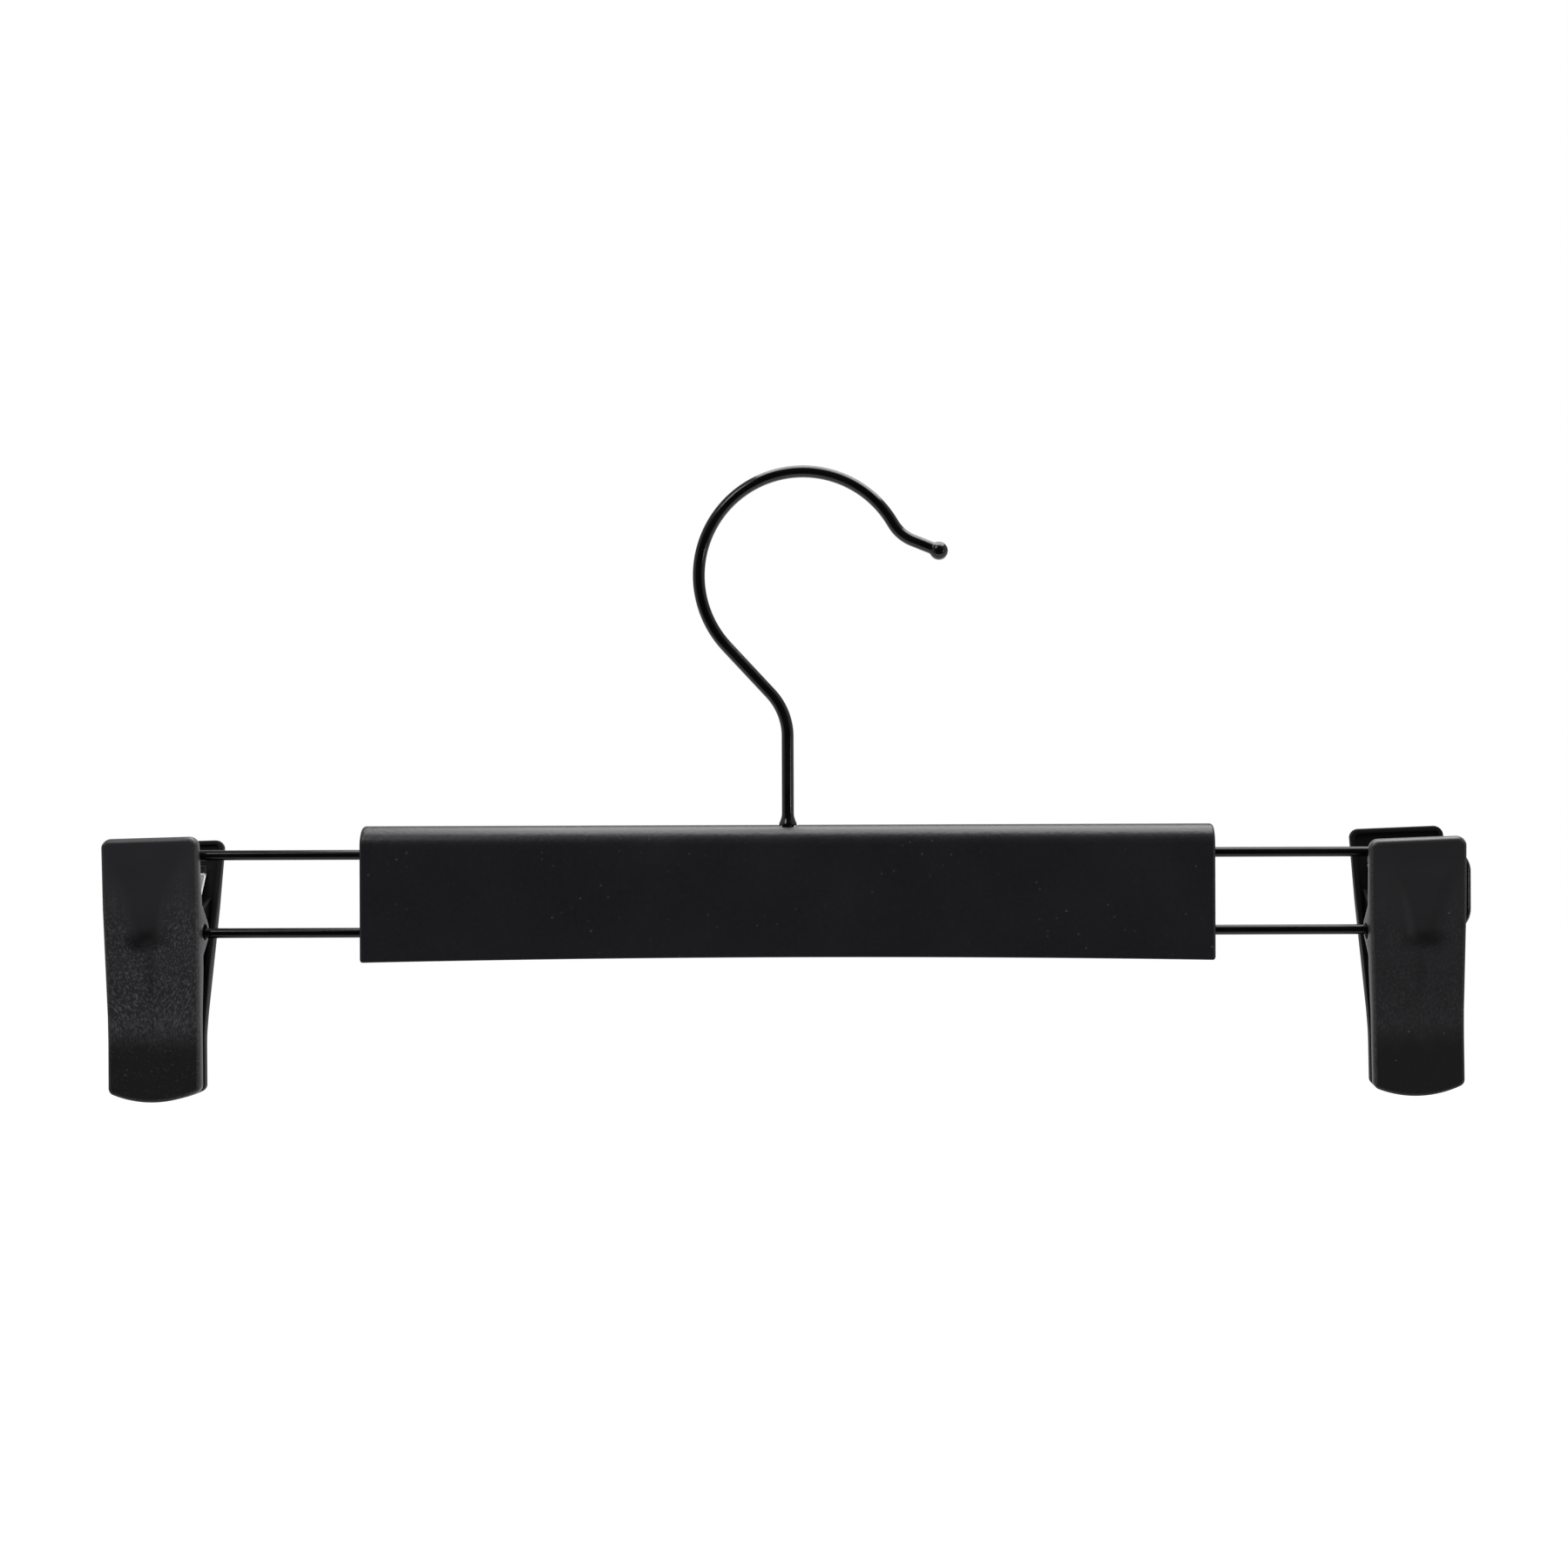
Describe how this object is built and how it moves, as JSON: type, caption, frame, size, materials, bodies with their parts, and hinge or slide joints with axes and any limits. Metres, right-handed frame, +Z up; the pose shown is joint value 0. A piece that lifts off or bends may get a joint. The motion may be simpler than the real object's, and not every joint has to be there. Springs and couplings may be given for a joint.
{
  "type": "clip hanger",
  "caption": "Trouser and skirt hanger: a swivelling wire hook over a moulded bar on a bent wire loop, with a sprung, rubber-padded clip sliding at each end.",
  "frame": {"origin": "where the swivel axis meets the inside of the hook's crown, the point that rests on the rail", "axes": "+X along the bar to the right seen from the front, +Y to the back, +Z up along the hook's stem"},
  "size_m": [0.337, 0.0285, 0.1563],
  "materials": {
    "hook_wire": "glossy black coated wire",
    "loop_wire": "glossy black coated wire",
    "bar_plastic": "fine matte moulded black",
    "insert_plastic": "plain moulded black",
    "clip_plastic": "mottled matte moulded charcoal",
    "pad_rubber": "soft ribbed black rubber",
    "spring_steel": "bright rolled spring strip",
    "washer_steel": "plain stamped steel"
  },
  "bodies": {
    "hook": {"hook": "hook_wire"},
    "bar": {"bar_cover": "bar_plastic", "wire_frame": "loop_wire", "hook_saddle": "insert_plastic", "hook_washer": "washer_steel", "left_wire_spacer": "insert_plastic", "right_wire_spacer": "insert_plastic"},
    "left_spring": {"left_spring": "spring_steel"},
    "left_front": {"left_front_plate": "clip_plastic", "left_front_pad": "pad_rubber"},
    "left_back": {"left_back_plate": "clip_plastic", "left_back_pad": "pad_rubber"},
    "right_spring": {"right_spring": "spring_steel"},
    "right_front": {"right_front_plate": "clip_plastic", "right_front_pad": "pad_rubber"},
    "right_back": {"right_back_plate": "clip_plastic", "right_back_pad": "pad_rubber"}
  },
  "joints": [
    {"name": "bar_swivel", "type": "hinge", "parent": "hook", "child": "bar", "pos_m": [0, 0, -0.0854], "axis": [0, 0, 1], "continuous": true},
    {"name": "left_clip_slide", "type": "slide", "parent": "bar", "child": "left_spring", "axis": [1, 0, 0], "range_m": [0, 0.038]},
    {"name": "left_clip_swing", "type": "hinge", "parent": "left_spring", "child": "left_front", "pos_m": [-0.1556, 0, -0.11167], "axis": [1, 0, 0], "range_deg": [-2, 12], "deforming": ["left_spring"]},
    {"name": "left_clip_pinch", "type": "hinge", "parent": "left_front", "child": "left_back", "pos_m": [-0.1556, 0, -0.11167], "axis": [1, 0, 0], "range_deg": [0, 20], "stiffness_Nm_per_rad": 0.3, "springref_deg": -13.75, "deforming": ["left_spring"]},
    {"name": "right_clip_slide", "type": "slide", "parent": "bar", "child": "right_spring", "axis": [-1, 0, 0], "range_m": [0, 0.0361]},
    {"name": "right_clip_swing", "type": "hinge", "parent": "right_spring", "child": "right_front", "pos_m": [0.1543, 0, -0.11167], "axis": [1, 0, 0], "range_deg": [-11.5, 2.5], "deforming": ["right_spring"]},
    {"name": "right_clip_pinch", "type": "hinge", "parent": "right_front", "child": "right_back", "pos_m": [0.1543, 0, -0.11167], "axis": [1, 0, 0], "range_deg": [0, 20], "stiffness_Nm_per_rad": 0.3, "springref_deg": -13.75, "deforming": ["right_spring"]}
  ]
}
